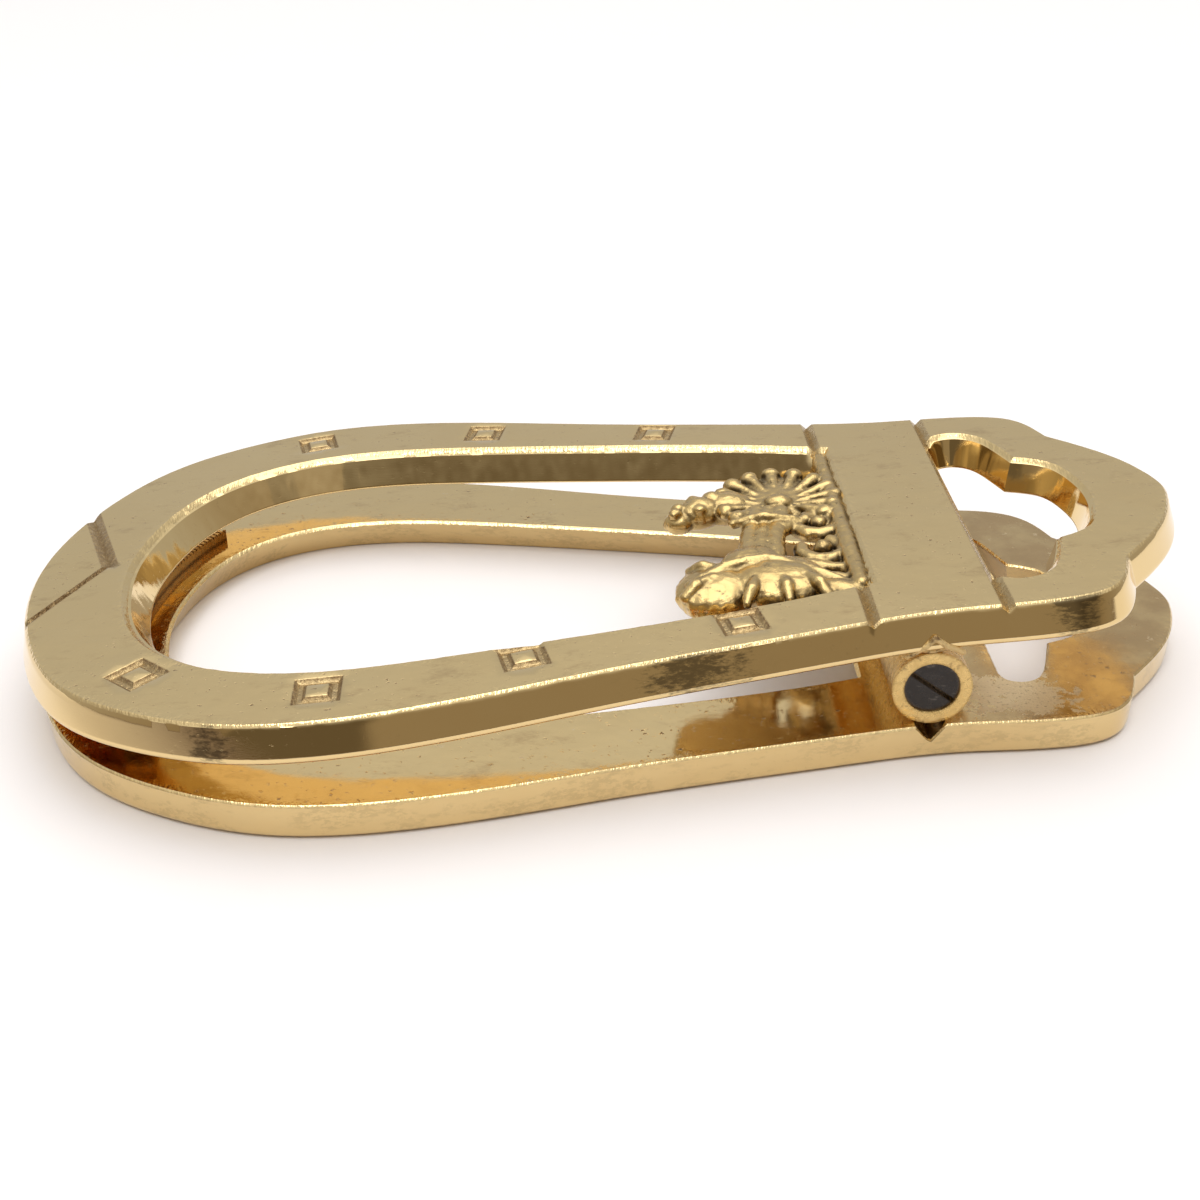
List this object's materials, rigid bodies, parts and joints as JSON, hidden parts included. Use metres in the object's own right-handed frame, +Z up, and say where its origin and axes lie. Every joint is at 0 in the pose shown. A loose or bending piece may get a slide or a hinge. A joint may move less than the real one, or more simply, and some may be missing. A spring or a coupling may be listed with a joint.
{
  "type": "money clip",
  "caption": "Spring-hinged money clip: two horseshoe plates with a stirrup loop, joined by a barrel hinge, that grip folded notes at the toe.",
  "frame": {"origin": "on the flat underside of the lower plate, under the middle of the clip's bounding box", "axes": "+X from the horseshoe's toe to the tip of the stirrup loop, +Y along the hinge axis, +Z up from the lower plate to the upper plate"},
  "size_m": [0.0587, 0.0349, 0.0085],
  "materials": {
    "gold_plate": "polished gold plate, finely scratched and pitted",
    "gold_ornament": "cast gold plate with dark patina in its recesses",
    "solder": "rough, tarnished solder",
    "dark_steel": "blackened steel, worn at its edges",
    "spring_steel": "drawn spring wire and ground pin"
  },
  "bodies": {
    "lower": {"lower_plate": "gold_plate", "serrated_jaw": "gold_plate", "centre_knuckle": "gold_plate", "centre_solder_seam": "solder", "spring_anchor_pin": "spring_steel"},
    "upper": {"upper_plate": "gold_plate", "crossbar_ornament": "gold_ornament", "near_knuckle": "gold_plate", "far_knuckle": "gold_plate", "near_solder_seam": "solder", "far_solder_seam": "solder", "hinge_pin": "spring_steel", "near_tension_plug": "dark_steel", "far_end_plug": "dark_steel", "torsion_spring": "spring_steel"}
  },
  "joints": [
    {"name": "jaw_hinge", "type": "hinge", "parent": "lower", "child": "upper", "pos_m": [0.01462, -0.00014, 0.00356], "axis": [0, 1, 0], "range_deg": [0, 18.5], "stiffness_Nm_per_rad": 0.15, "springref_deg": -28.65, "deforming": ["torsion_spring"]}
  ]
}
